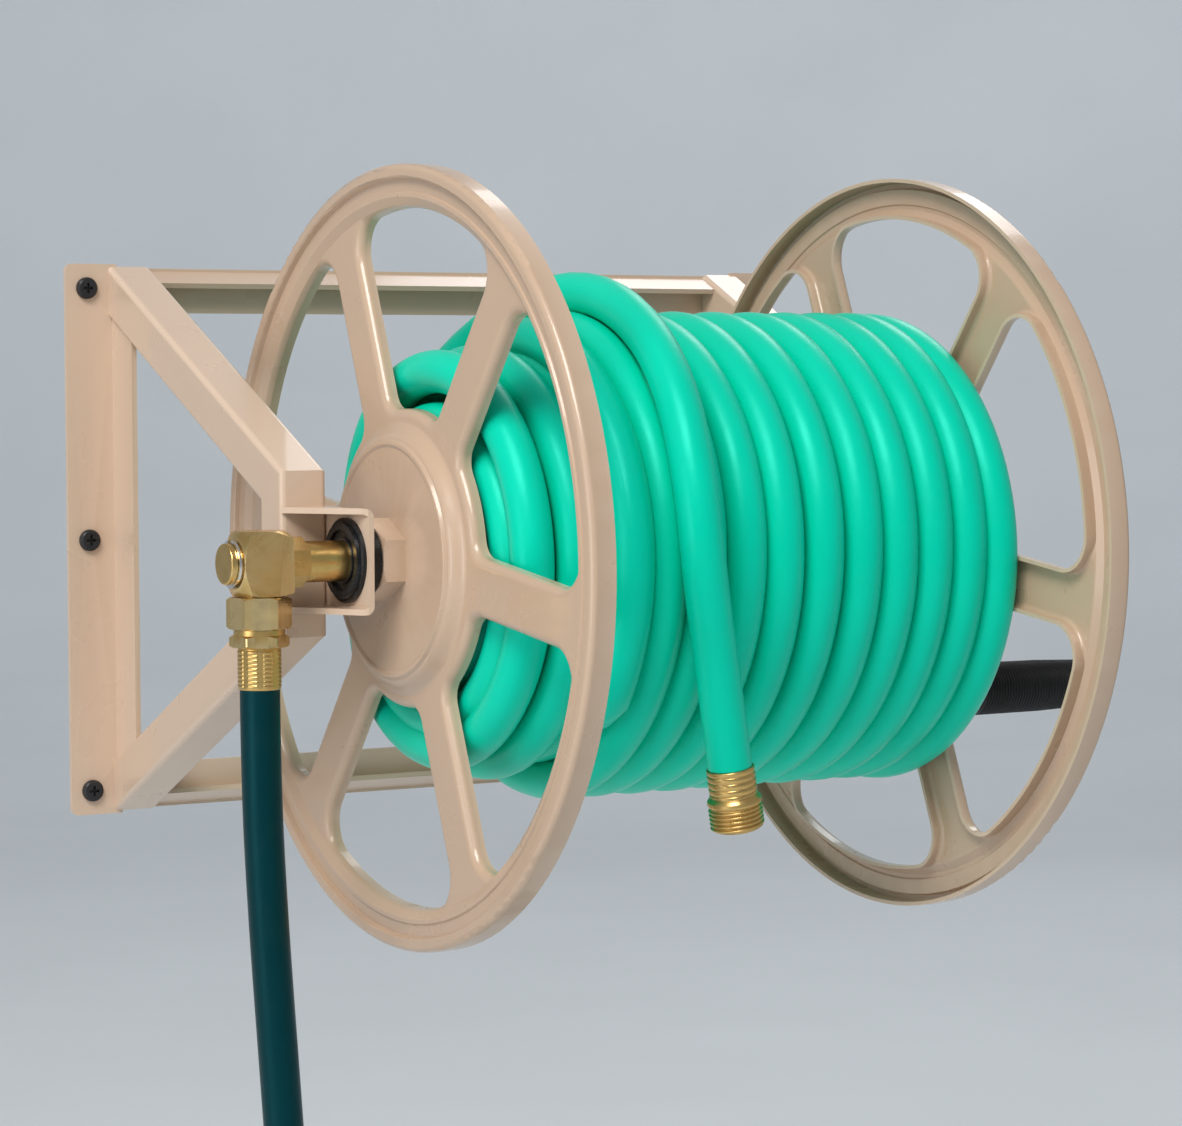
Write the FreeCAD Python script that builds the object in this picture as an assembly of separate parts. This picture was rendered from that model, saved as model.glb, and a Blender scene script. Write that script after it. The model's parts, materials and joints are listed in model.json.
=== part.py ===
import FreeCAD, Part
import math
import os

# Wall-mounted garden hose reel, in millimetres.
# X runs along the reel's axle to the right, Y into the wall, Z up.
# The origin is the centre of the six wall screws, on the wall's surface.

V = FreeCAD.Vector

# ---- driving dimensions: frame ----
PLATE_LENGTH = 304.8          # height of the wall plates
PLATE_OUTER = 232.0           # from the centre to a plate's outer edge
PLATE_INNER = 202.0           # from the centre to a plate's inner edge
SHEET = 3.0                   # thickness of plates, bars and brackets
PLATE_LEG = 30.0              # leg of the angle that stands off the wall
PLATE_CORNER = 4.0
SCREW_X = 220.0
SCREW_Z = 139.0
SCREW_SHANK_R = 2.5
SCREW_NECK_R = 2.8            # plain neck in the plate's hole
SCREW_HOLE_R = 3.1
SCREW_LENGTH = 20.0           # shank behind the wall plate
HEAD_R = 6.0
HEAD_HEIGHT = 3.4

TUBE = 25.4                   # square tube of the side frames
TUBE_WALL = 1.6
TUBE_CORNER = 3.0
ARM_OUTER = 207.0             # from the centre to a tube's outer face
ARM_INNER = ARM_OUTER - TUBE
ARM_TOP = 151.0               # height of the arm's outer line at the wall plate
POST_FRONT = -222.0           # y of the post's front face
POST_TOP = 42.0               # height where the arm's outer line meets the post's front

BAR_OUTER_Z = 150.3
BAR_LEG = 24.8
BAR_SLOPED_LEG = 19.0

# ---- driving dimensions: axle and brackets ----
AXLE_Y = -245.0
AXLE_Z = -2.7
STEM_R = 10.25
BRACKET_FRONT = -268.5
BRACKET_HALF = 26.5           # half of the bracket's height
BRACKET_BEND = 5.0
BRACKET_BACK = -200.0
WEB_OUTER = ARM_INNER
WEB_INNER = ARM_INNER - SHEET
BUSH_BORE = STEM_R + 0.08
BUSH_SLEEVE_R = 14.0
BUSH_FLANGE_R = 21.4
BUSH_FLANGE = 4.2
THRUST_R = 18.0
THRUST_END = 170.9

# ---- driving dimensions: reel ----
WHEEL_R = 197.8
WHEEL_FACE = 156.4            # plane of the rim's crest
SPOKE_FACE = 151.4            # plane of the spokes
WHEEL_BACK = 143.6            # free edge of the rim and of the window flanges
WHEEL_SHEET = 2.0
SPOKE_COUNT = 6
SPOKE_WIDTH = 29.0
FIRST_SPOKE = -8.0            # degrees above the line that points away from the wall
WINDOW_INNER = 75.5
WINDOW_OUTER = 176.0
WINDOW_OUTER_CORNER = 17.0
WINDOW_INNER_CORNER = 11.0
WINDOW_EDGE = 4.5             # rounding where a window's flange turns in
CREST_R = 191.0               # inner edge of the rim's crest
GROOVE_FACE = 153.2           # floor of the groove inside the crest
HUB_FACE = 158.4              # flat face inside the hub's bead
HUB_BEAD = 159.4
HUB_TOP = 157.8                # outer foot of the bead
HUB_TOP_R = 60.6
FLARE_R = 69.4                # where the hub's flare meets the spokes' plane
FLARE_STEPS = 10
DRUM_R = 46.0
DRUM_WALL = 2.0
HUB_HEX = 36.0
HUB_HEX_END = 170.6
HUB_SHANK_R = 16.0
LOCK_NUT_HEX = 46.0
LOCK_NUT_END = 144.0

# ---- driving dimensions: crank ----
CRANK_RADIUS = 88.2
CRANK_LEAN = 14.45            # degrees from straight down towards the wall
CRANK_START = 209.0
CRANK_THICKNESS = 5.0
CRANK_WIDTH = 26.0
GRIP_START = 216.2
GRIP_END = 307.0
GRIP_R = 14.8
GRIP_END_R = 13.2
GRIP_BORE = 4.1
CRANK_BOLT_R = 4.0
CRANK_NUT_HEX = 19.0
AXLE_THREAD_R = 6.0

# ---- driving dimensions: water inlet ----
ELBOW_X = -230.5
ELBOW_LENGTH = 26.6
ELBOW_DEPTH = 26.0
ELBOW_HEIGHT = 32.0
STEM_END = -249.5
SHOULDER_HEX = 21.8
SHOULDER_START = -216.9
SHOULDER_END = -207.0
STEM_BORE = 6.5
WATER_BORE = 6.0
COUPLING_BACK = 9.3           # from the axle to the inner coupling's back
COUPLING_MOUTH = 18.0         # and to its mouth
SWIVEL_HEX = 28.0
SWIVEL_TOP = -19.3
SWIVEL_BOTTOM = -35.0
FLANGE_TOP = -38.0
FLANGE_BOTTOM = -44.0
FERRULE_R = 10.7
FERRULE_BOTTOM = -65.0
LEADER_R = 10.0

# ---- driving dimensions: hoses ----
HOSE_R = 11.0                 # 5/8 inch garden hose, outside
COIL_END = 141.0
COIL_INNER_R = 46.3
COIL_OUTER_R = 125.8
LAYER_ENDS = [(107.0, -141.0), (115.0, -117.0), (COIL_OUTER_R, -103.0)]
COUPLING_R = 13.49            # outside of a 3/4 inch garden hose thread
END_X = -37.0
END_Y = -374.5
HOSE_END_Z = -103.0
HOSE_FERRULE_Z = -116.5
HOSE_COUPLING_Z = -134.0

LEADER_COIL_R = 117.0
LEADER_COIL_X = -100.0
LEADER_COIL_Z = -441.0
LEADER_TURN_STEP = 20.6
TAIL_ANGLE = -50.0            # where the leader's end leaves its coil
TAIL_LENGTH = 75.0            # bare hose from the coil to the ferrule
TAIL_FERRULE = 21.0
TAP_NUT_HEX = 31.0

# Route of the garden hose's free end, over the coil and down.
HOSE_END_ROUTE = [
    V(-40, -205, 108), V(-46, -258, 131), V(-56, -314, 118), V(-60, -358, 82),
    V(-59, -381, 34), V(-52, -383, -14), V(-43, -378, -60), V(END_X, END_Y, HOSE_END_Z),
]

# Route of the leader hose, from the ferrule's flange down to its coil.
LEADER_ROUTE = [
    V(ELBOW_X, AXLE_Y, FLANGE_BOTTOM), V(ELBOW_X, AXLE_Y, -108), V(-227.6, AXLE_Y - 0.5, -176),
    V(-223.2, AXLE_Y - 2.5, -252), V(-219.4, AXLE_Y - 7, -336),
    V(LEADER_COIL_X - LEADER_COIL_R, AXLE_Y - LEADER_TURN_STEP / 2, -415),
]


# ---- helpers ----
def box(x0, x1, y0, y1, z0, z1):
    low = V(min(x0, x1), min(y0, y1), min(z0, z1))
    return Part.makeBox(abs(x1 - x0), abs(y1 - y0), abs(z1 - z0), low)


def rod_x(radius, x0, x1, y=AXLE_Y, z=AXLE_Z):
    return Part.makeCylinder(radius, abs(x1 - x0), V(min(x0, x1), y, z), V(1, 0, 0))


def rod_z(radius, z0, z1, x=ELBOW_X, y=AXLE_Y):
    return Part.makeCylinder(radius, abs(z1 - z0), V(x, y, min(z0, z1)), V(0, 0, 1))


def ring_x(outer, inner, x0, x1, y=AXLE_Y, z=AXLE_Z):
    return rod_x(outer, x0, x1, y, z).cut(rod_x(inner, min(x0, x1) - 1, max(x0, x1) + 1, y, z))


def ring_z(outer, inner, z0, z1, x=ELBOW_X, y=AXLE_Y):
    return rod_z(outer, z0, z1, x, y).cut(rod_z(inner, min(z0, z1) - 1, max(z0, z1) + 1, x, y))


def polygon(points):
    return Part.Face(Part.makePolygon(points + [points[0]]))


def prism_yz(points, x0, x1):
    """A solid whose outline in Y and Z runs from x0 to x1."""
    face = polygon([V(min(x0, x1), y, z) for y, z in points])
    return face.extrude(V(abs(x1 - x0), 0, 0))


def hexagon(across_flats, centre, axis, length, turn=0.0):
    """A hexagonal prism that starts at centre and runs along axis ('x' or 'z')."""
    corner = across_flats / math.sqrt(3)
    points = []
    for index in range(6):
        angle = math.radians(60 * index + turn)
        if axis == "x":
            points.append(centre + V(0, corner * math.cos(angle), corner * math.sin(angle)))
        else:
            points.append(centre + V(corner * math.cos(angle), corner * math.sin(angle), 0))
    direction = V(length, 0, 0) if axis == "x" else V(0, 0, length)
    return polygon(points).extrude(direction)


def lathe_x(profile):
    """Turns an outline of (radius, x) points about the axle."""
    face = polygon([V(x, AXLE_Y, AXLE_Z + radius) for radius, x in profile])
    return face.revolve(V(0, AXLE_Y, AXLE_Z), V(1, 0, 0), 360)


def lathe_z(profile, x=ELBOW_X, y=AXLE_Y):
    """Turns an outline of (radius, z) points about a vertical line."""
    face = polygon([V(x + radius, y, z) for radius, z in profile])
    return face.revolve(V(x, y, 0), V(0, 0, 1), 360)


def rounded(shape, radius, wanted):
    edges = [edge for edge in shape.Edges if wanted(edge)]
    return shape.makeFillet(radius, edges)


def mirrored(shape):
    return shape.mirror(V(0, 0, 0), V(1, 0, 0))


def lies_at(edge, axis, value):
    return all(abs(getattr(vertex.Point, axis) - value) < 1e-3 for vertex in edge.Vertexes)


def runs_along(edge, axis):
    if edge.Curve.TypeId != "Part::GeomLine":
        return False
    first, last = edge.Vertexes[0].Point, edge.Vertexes[-1].Point
    direction = (last - first).normalize()
    return abs(abs(getattr(direction, axis)) - 1) < 1e-6


def save(name, shape):
    solid = shape.removeSplitter()
    assert solid.isValid(), name
    solid.exportStep("parts/%s.step" % name)


def save_pair(name, right_shape):
    save("right_" + name, right_shape)
    save("left_" + name, mirrored(right_shape))


# ---- frame ----
def wall_plate():
    """Right wall plate: an angle with three screw holes, open where the arms pass."""
    flat = box(PLATE_INNER, PLATE_OUTER, -SHEET, 0, -PLATE_LENGTH / 2, PLATE_LENGTH / 2)
    corners = lambda edge: runs_along(edge, "y") and edge.Vertexes[0].X > PLATE_OUTER - 1
    flat = rounded(flat, PLATE_CORNER, corners)
    edge_top, edge_bottom = arm_inner_z(-SHEET), arm_inner_z(-PLATE_LEG)
    leg_outline = [
        (-SHEET, edge_top), (-PLATE_LEG, edge_bottom),
        (-PLATE_LEG, -edge_bottom), (-SHEET, -edge_top),
    ]
    plate = flat.fuse(prism_yz(leg_outline, PLATE_INNER, PLATE_INNER + SHEET))
    for z in (-SCREW_Z, 0, SCREW_Z):
        hole = Part.makeCylinder(SCREW_HOLE_R, SHEET + 2, V(SCREW_X, 1, z), V(0, -1, 0))
        plate = plate.cut(hole)
    return plate


def arm_slope():
    return (ARM_TOP - POST_TOP) / (-POST_FRONT - SHEET)


def arm_outer_z(y):
    """Height of the upper arm's outer face at a distance from the wall."""
    return ARM_TOP - arm_slope() * (-y - SHEET)


def arm_inner_z(y):
    return arm_outer_z(y) - TUBE * math.hypot(1, arm_slope())


def hollow_tube(outline, inner_outline):
    """A square tube seen from the side as outline, with the corners along it rounded."""
    outer = prism_yz(outline, ARM_INNER, ARM_OUTER)
    corner = [edge for edge in outer.Edges if not runs_along(edge, "x") and long_side(edge)]
    outer = outer.makeFillet(TUBE_CORNER, corner)
    return outer.cut(prism_yz(inner_outline, ARM_INNER + TUBE_WALL, ARM_OUTER - TUBE_WALL))


def long_side(edge):
    return edge.Length > 1.5 * TUBE


def upper_arm():
    """Right upper arm, from the wall plate down to the mitre with the post."""
    back = POST_FRONT + TUBE
    outline = [
        (-SHEET, arm_outer_z(-SHEET)), (POST_FRONT, POST_TOP),
        (back, arm_inner_z(back)), (-SHEET, arm_inner_z(-SHEET)),
    ]
    drop = TUBE_WALL * math.hypot(1, arm_slope())
    inner_front = POST_FRONT + TUBE_WALL
    inner_back = back - TUBE_WALL
    inner = [
        (0, arm_outer_z(0) - drop), (inner_front, arm_outer_z(inner_front) - drop),
        (inner_back, arm_inner_z(inner_back) + drop), (0, arm_inner_z(0) + drop),
    ]
    return hollow_tube(outline, inner)


def post():
    """Right post, upright between the two arms' mitres."""
    back = POST_FRONT + TUBE
    back_z = arm_inner_z(back)
    outline = [(POST_FRONT, POST_TOP), (back, back_z), (back, -back_z), (POST_FRONT, -POST_TOP)]
    inner_front = POST_FRONT + TUBE_WALL
    inner_back = back - TUBE_WALL
    inner = [
        (inner_front, POST_TOP), (inner_back, POST_TOP),
        (inner_back, -POST_TOP), (inner_front, -POST_TOP),
    ]
    return hollow_tube(outline, inner)


def cross_bar():
    """Top bar: one leg on the wall, the other sloping with the arms."""
    length = math.hypot(1, arm_slope())
    along = V(0, -1 / length, -arm_slope() / length)
    inward = V(0, arm_slope() / length, -1 / length)
    wall_leg = box(-PLATE_INNER, PLATE_INNER, -SHEET, 0, BAR_OUTER_Z - BAR_LEG, BAR_OUTER_Z)
    start = V(-ARM_INNER, 0, BAR_OUTER_Z)
    end = start + along * BAR_SLOPED_LEG
    sloped = polygon([start, end, end + inward * SHEET, start + inward * SHEET])
    sloped = sloped.extrude(V(2 * ARM_INNER, 0, 0))
    front_only = box(-PLATE_OUTER, PLATE_OUTER, -PLATE_LEG, 0, 0, PLATE_LENGTH)
    return wall_leg.fuse(sloped.common(front_only))


def bracket():
    """Right axle bracket: a bent channel whose flanges are slanted gussets."""
    top, bottom = AXLE_Z + BRACKET_HALF, AXLE_Z - BRACKET_HALF
    block = box(WEB_INNER, ARM_OUTER, BRACKET_FRONT, BRACKET_BACK, bottom, top)
    bends = lambda edge: runs_along(edge, "y") and lies_at(edge, "x", WEB_INNER)
    block = rounded(block, BRACKET_BEND, bends)
    hollow = box(WEB_OUTER, ARM_OUTER + 1, BRACKET_FRONT - 1, BRACKET_BACK + 1,
                 bottom + SHEET, top - SHEET)
    inner_bends = lambda edge: runs_along(edge, "y") and lies_at(edge, "x", WEB_OUTER)
    hollow = rounded(hollow, BRACKET_BEND - SHEET, inner_bends)
    front_cut = polygon([
        V(WEB_OUTER, BRACKET_FRONT, bottom - 1), V(ARM_OUTER, POST_FRONT, bottom - 1),
        V(ARM_OUTER + 5, POST_FRONT, bottom - 1), V(ARM_OUTER + 5, BRACKET_FRONT - 5, bottom - 1),
        V(WEB_OUTER, BRACKET_FRONT - 5, bottom - 1),
    ]).extrude(V(0, 0, 2 * BRACKET_HALF + 2))
    post_space = box(WEB_OUTER, ARM_OUTER + 1, POST_FRONT, BRACKET_BACK + 1, bottom - 1, top + 1)
    shape = block.cut(hollow).cut(front_cut).cut(post_space)
    return shape.cut(rod_x(BUSH_SLEEVE_R, WEB_INNER - 1, WEB_OUTER + 1))


def bushing():
    """Right bushing: a sleeve through the bracket and a stepped outer flange."""
    outer = WEB_OUTER
    profile = [
        (BUSH_BORE, WEB_INNER), (BUSH_SLEEVE_R, WEB_INNER), (BUSH_SLEEVE_R, outer),
        (BUSH_FLANGE_R, outer), (BUSH_FLANGE_R, outer + 2.0), (BUSH_FLANGE_R - 1.0, outer + 2.6),
        (BUSH_FLANGE_R - 2.0, outer + 2.6), (BUSH_FLANGE_R - 2.6, outer + BUSH_FLANGE),
        (BUSH_SLEEVE_R + 1.5, outer + BUSH_FLANGE), (BUSH_SLEEVE_R + 0.8, outer + 2.4),
        (BUSH_BORE + 1.6, outer + 2.4), (BUSH_BORE + 1.2, outer + 3.4),
        (BUSH_BORE, outer + 3.4),
    ]
    return lathe_x(profile)


def thrust_washer():
    """Right thrust washer, on the reel's side of the bracket."""
    washer = ring_x(THRUST_R, BUSH_BORE, THRUST_END, WEB_INNER)
    outer_edge = lambda edge: lies_at(edge, "x", THRUST_END) and edge.Length > 2 * math.pi * 15
    return rounded(washer, 0.8, outer_edge)


def wall_screws():
    """Six pan-head screws; their shanks stand behind the plates."""
    screws = []
    for x in (-SCREW_X, SCREW_X):
        for z in (-SCREW_Z, 0, SCREW_Z):
            head = Part.makeCylinder(HEAD_R, HEAD_HEIGHT, V(x, -SHEET, z), V(0, -1, 0))
            head = head.makeFillet(1.8, [e for e in head.Edges if lies_at(e, "y", -SHEET - HEAD_HEIGHT)])
            neck = Part.makeCylinder(SCREW_NECK_R, SHEET, V(x, -SHEET, z), V(0, 1, 0))
            shank = Part.makeCylinder(SCREW_SHANK_R, SCREW_LENGTH, V(x, 0, z), V(0, 1, 0))
            screw = head.fuse(neck).fuse(shank)
            for slot in (box(x - 0.7, x + 0.7, -20, -SHEET - 1.4, z - 2.8, z + 2.8),
                         box(x - 2.8, x + 2.8, -20, -SHEET - 1.4, z - 0.7, z + 0.7)):
                screw = screw.cut(slot)
            screws.append(screw)
    return Part.makeCompound(screws)


# ---- wheels ----
def wheel_direction(angle):
    """Unit vector in the wheel's plane; 0 degrees points away from the wall, 90 up."""
    return V(0, -math.cos(math.radians(angle)), math.sin(math.radians(angle)))


def window(angle, grow):
    """One window between two spokes, as a prism; grow widens it on every side."""
    inner, outer = WINDOW_INNER - grow, WINDOW_OUTER + grow
    half = SPOKE_WIDTH / 2 - grow
    pitch = 360.0 / SPOKE_COUNT
    centre = V(WHEEL_BACK - 5, AXLE_Y, AXLE_Z)

    def corner(radius, side):
        spoke = angle + side * pitch / 2
        reach = math.sqrt(radius ** 2 - half ** 2)
        inward = wheel_direction(spoke - side * 90)
        return centre + wheel_direction(spoke) * reach + inward * half

    def middle(radius):
        return centre + wheel_direction(angle) * radius

    outline = Part.Wire([
        Part.Arc(corner(inner, -1), middle(inner), corner(inner, 1)).toShape(),
        Part.LineSegment(corner(inner, 1), corner(outer, 1)).toShape(),
        Part.Arc(corner(outer, 1), middle(outer), corner(outer, -1)).toShape(),
        Part.LineSegment(corner(outer, -1), corner(inner, -1)).toShape(),
    ])
    prism = Part.Face(outline).extrude(V(20, 0, 0))
    far = (WINDOW_INNER + WINDOW_OUTER) / 2

    def radius_of(edge):
        point = edge.Vertexes[0].Point
        return math.hypot(point.y - AXLE_Y, point.z - AXLE_Z)

    prism = rounded(prism, WINDOW_OUTER_CORNER + grow, lambda e: runs_along(e, "x") and radius_of(e) > far)
    return rounded(prism, WINDOW_INNER_CORNER + grow, lambda e: runs_along(e, "x") and radius_of(e) < far)


def hub_flare(sink):
    """Outline points of the smooth rise from the spokes' plane to the hub's bead."""
    points = []
    for index in range(FLARE_STEPS + 1):
        share = index / FLARE_STEPS
        rise = share * share * (3 - 2 * share)
        points.append((FLARE_R + (HUB_TOP_R - FLARE_R) * share,
                       SPOKE_FACE + (HUB_TOP - SPOKE_FACE) * rise - sink))
    return points


def wheel_body(sink, edge_round):
    """The wheel's outer form, sunk inwards by the sheet's thickness for its inside."""
    rim_r = WHEEL_R - sink
    back = WHEEL_BACK - (1.0 if sink else 0.0)
    crest_r = CREST_R + sink
    outline = [
        (0, back), (rim_r, back), (rim_r, WHEEL_FACE - sink), (crest_r, WHEEL_FACE - sink),
        (crest_r - 1.0, GROOVE_FACE - sink), (184.2, GROOVE_FACE - sink),
        (183.4, GROOVE_FACE + 0.9 - sink), (181.4, GROOVE_FACE + 0.9 - sink),
        (177.2, SPOKE_FACE - sink), *hub_flare(sink),
        (59.4, HUB_BEAD - sink), (57.6, HUB_BEAD - sink), (56.2, HUB_FACE - sink),
        (0, HUB_FACE - sink),
    ]
    body = lathe_x(outline)
    crest = lambda e: lies_at(e, "x", WHEEL_FACE - sink) and e.Length > 2 * math.pi * (CREST_R - 1)
    rim_edge = lambda e: crest(e) and e.Length > 2 * math.pi * (rim_r - 1)
    body = rounded(body, 3.2 if not sink else 1.2, rim_edge)
    if not sink:
        body = rounded(body, 1.2, crest)
        bead = lambda e: lies_at(e, "x", HUB_BEAD) or (lies_at(e, "x", HUB_FACE) and e.Length > 300)
        body = rounded(body, 0.6, bead)
    for index in range(SPOKE_COUNT):
        middle_angle = FIRST_SPOKE + 360.0 / SPOKE_COUNT * (index + 0.5)
        body = body.cut(window(middle_angle, sink))
    face_edge = lambda e: lies_at(e, "x", SPOKE_FACE - sink) and e.Length < 200
    return rounded(body, edge_round, face_edge)


def wheel():
    """Wheel with its crest towards +X: a pressed sheet with flanged windows."""
    outer = wheel_body(0.0, WINDOW_EDGE)
    inner = wheel_body(WHEEL_SHEET, WINDOW_EDGE - WHEEL_SHEET)
    shell = outer.cut(inner)
    return shell.cut(rod_x(HUB_SHANK_R, LOCK_NUT_END, HUB_FACE + 1))


def hub_fitting():
    """Right hub fitting: a hexagon outside the wheel and a shank through it."""
    start = HUB_FACE
    hexagonal = hexagon(HUB_HEX, V(start, AXLE_Y, AXLE_Z), "x", HUB_HEX_END - start, 90)
    turned = lathe_x([(0, start), (HUB_HEX, start), (HUB_HEX, HUB_HEX_END - 12),
                      (HUB_HEX / 2 + 0.4, HUB_HEX_END), (0, HUB_HEX_END)])
    shank = rod_x(HUB_SHANK_R, LOCK_NUT_END - 4, start)
    return hexagonal.common(turned).fuse(shank).cut(rod_x(STEM_R, LOCK_NUT_END - 10, HUB_HEX_END + 1))


def lock_nut():
    """Right lock nut, inside the wheel, against its hub."""
    seat = HUB_FACE - WHEEL_SHEET
    nut = hexagon(LOCK_NUT_HEX, V(LOCK_NUT_END, AXLE_Y, AXLE_Z), "x", seat - LOCK_NUT_END, 0)
    return nut.cut(rod_x(HUB_SHANK_R, LOCK_NUT_END - 1, seat + 1))


def drum_tube():
    """Drum between the wheels, with the opening that the hose passes."""
    end = HUB_FACE - WHEEL_SHEET
    drum = ring_x(DRUM_R, DRUM_R - DRUM_WALL, -end, end)
    return drum.cut(hose_passage(HOSE_R + 1.5))


# ---- crank ----
def leaned(shape):
    """Swings a part made straight down from the axle to the crank's own direction."""
    return shape.rotated(V(0, AXLE_Y, AXLE_Z), V(1, 0, 0), CRANK_LEAN)


def crank_arm():
    """Flat bar from the axle's end down to the grip, with rounded ends."""
    foot_z = AXLE_Z - CRANK_RADIUS
    end = CRANK_START + CRANK_THICKNESS
    bar = box(CRANK_START, end, AXLE_Y - CRANK_WIDTH / 2, AXLE_Y + CRANK_WIDTH / 2, foot_z, AXLE_Z)
    bar = bar.fuse(rod_x(CRANK_WIDTH / 2, CRANK_START, end))
    bar = bar.fuse(rod_x(CRANK_WIDTH / 2, CRANK_START, end, AXLE_Y, foot_z)).removeSplitter()
    rim = lambda edge: lies_at(edge, "x", end) or lies_at(edge, "x", CRANK_START)
    bar = rounded(bar, 0.8, rim)
    bar = bar.cut(rod_x(AXLE_THREAD_R, CRANK_START - 1, end + 1))
    return leaned(bar.cut(rod_x(CRANK_BOLT_R, CRANK_START - 1, end + 1, AXLE_Y, foot_z)))


def crank_bolt():
    """Shoulder bolt through the grip, screwed into the crank arm."""
    z = AXLE_Z - CRANK_RADIUS
    bolt = rod_x(CRANK_BOLT_R, CRANK_START, GRIP_END - 5, AXLE_Y, z)
    bolt = bolt.fuse(rod_x(7.0, GRIP_END - 9, GRIP_END - 4.2, AXLE_Y, z))
    shoulder = CRANK_START + CRANK_THICKNESS
    bolt = bolt.fuse(rod_x(8.0, shoulder, GRIP_START - 0.3, AXLE_Y, z))
    return leaned(bolt.cut(hexagon(5.0, V(GRIP_END - 7, AXLE_Y, z), "x", 4)))


def crank_grip():
    """Tapered grip, free to turn on the crank bolt."""
    grip = lathe_x([(GRIP_BORE, GRIP_START), (GRIP_R - 1, GRIP_START), (GRIP_R, GRIP_START + 1.5),
                    (GRIP_R, GRIP_START + 50), (GRIP_END_R, GRIP_END - 1.5),
                    (GRIP_END_R - 1.5, GRIP_END), (7.6, GRIP_END), (7.6, GRIP_END - 9.3),
                    (GRIP_BORE, GRIP_END - 9.3)])
    return leaned(grip.translated(V(0, 0, -CRANK_RADIUS)))


def crank_nut():
    """Nut on the axle's end, against the crank arm."""
    start = CRANK_START + CRANK_THICKNESS
    nut = hexagon(CRANK_NUT_HEX, V(start, AXLE_Y, AXLE_Z), "x", 8.0, 90)
    turned = lathe_x([(0, start), (11.2, start), (11.2, start + 6.6), (9.6, start + 8), (0, start + 8)])
    return nut.common(turned).cut(rod_x(AXLE_THREAD_R, start - 1, start + 9))


# ---- water inlet ----
def swivel_stem():
    """Brass stem: journal in the elbow, hexagon shoulder, shaft through the bushing."""
    stem = rod_x(STEM_R, STEM_END, -LOCK_NUT_END + 10)
    stem = stem.fuse(hexagon(SHOULDER_HEX, V(SHOULDER_START, AXLE_Y, AXLE_Z), "x",
                             SHOULDER_END - SHOULDER_START, 90))
    groove = ring_x(STEM_R + 2, STEM_R - 1.2, -246.2, -244.6)
    waist = ring_x(STEM_R + 2, STEM_R - 2.0, ELBOW_X - 4, ELBOW_X + 4)
    stem = stem.cut(groove).cut(waist)
    stem = stem.cut(rod_x(STEM_BORE, ELBOW_X - 6, -100))
    port = Part.makeCylinder(2.5, 2 * STEM_R + 4, V(ELBOW_X, AXLE_Y, AXLE_Z - STEM_R - 2))
    stem = stem.cut(port)
    port.rotate(V(ELBOW_X, AXLE_Y, AXLE_Z), V(1, 0, 0), 90)
    stem = stem.cut(port)
    return stem.makeFillet(1.0, [e for e in stem.Edges if lies_at(e, "x", STEM_END)])


def snap_ring():
    """Open spring ring in the stem's outer groove."""
    ring = ring_x(STEM_R + 1.6, STEM_R - 1.2, -246.0, -244.8)
    return ring.cut(box(-247, -244, AXLE_Y - 2, AXLE_Y + 2, AXLE_Z, AXLE_Z + 20))


def elbow_body():
    """Brass elbow: a square block with turned ends, bored for the stem."""
    left, right = ELBOW_X - ELBOW_LENGTH / 2, ELBOW_X + ELBOW_LENGTH / 2
    top, bottom = AXLE_Z + ELBOW_HEIGHT / 2, AXLE_Z - ELBOW_HEIGHT / 2
    block = box(left, right, AXLE_Y - ELBOW_DEPTH / 2, AXLE_Y + ELBOW_DEPTH / 2, bottom, top)
    turned_z = lathe_z([(0, bottom), (14.0, bottom), (19.5, bottom + 2.0), (19.5, top - 4.6),
                        (12.6, top), (0, top)])
    turned_x = lathe_x([(0, left), (12.6, left), (21.5, left + 5.0), (23.0, right), (0, right)])
    block = block.common(turned_z).common(turned_x)
    neck = rod_z(9.0, SWIVEL_BOTTOM + 4, bottom + 1)
    block = block.fuse(neck)
    block = block.cut(rod_x(STEM_R + 0.05, left - 1, right + 1))
    return block.cut(rod_z(WATER_BORE, SWIVEL_BOTTOM, AXLE_Z))


def swivel_nut():
    """Hexagon nut under the elbow, free to spin on the tailpiece."""
    nut = hexagon(SWIVEL_HEX, V(ELBOW_X, AXLE_Y, SWIVEL_BOTTOM), "z", SWIVEL_TOP - SWIVEL_BOTTOM, 40)
    turned = lathe_z([(0, SWIVEL_BOTTOM), (14.6, SWIVEL_BOTTOM), (16.2, SWIVEL_BOTTOM + 1.2),
                      (16.2, SWIVEL_TOP - 1.2), (14.6, SWIVEL_TOP), (0, SWIVEL_TOP)])
    nut = nut.common(turned)
    return nut.cut(rod_z(9.3, SWIVEL_BOTTOM - 1, SWIVEL_TOP + 1))


def tailpiece():
    """Collar and hexagon flange between the swivel nut and the ferrule."""
    collar = rod_z(12.7, FLANGE_TOP, SWIVEL_BOTTOM - 0.3)
    flange = hexagon(26.2, V(ELBOW_X, AXLE_Y, FLANGE_BOTTOM), "z", FLANGE_TOP - FLANGE_BOTTOM, 40)
    turned = lathe_z([(0, FLANGE_BOTTOM), (13.4, FLANGE_BOTTOM), (14.9, FLANGE_BOTTOM + 1.0),
                      (14.9, FLANGE_TOP - 1.0), (13.4, FLANGE_TOP), (0, FLANGE_TOP)])
    nose = rod_z(8.8, SWIVEL_BOTTOM - 1, SWIVEL_BOTTOM + 3.6)
    piece = flange.common(turned).fuse(collar).fuse(nose)
    return piece.cut(rod_z(WATER_BORE, FLANGE_BOTTOM - 1, SWIVEL_BOTTOM + 5))


# ---- outlet inside the drum ----
def outlet_height():
    return AXLE_Z + 26.0


def outlet_x():
    return -122.0


def hose_passage(radius):
    start = V(outlet_x(), AXLE_Y - COUPLING_MOUTH, outlet_height())
    return Part.makeCylinder(radius, 60, start, V(0, -1, 0))


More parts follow.
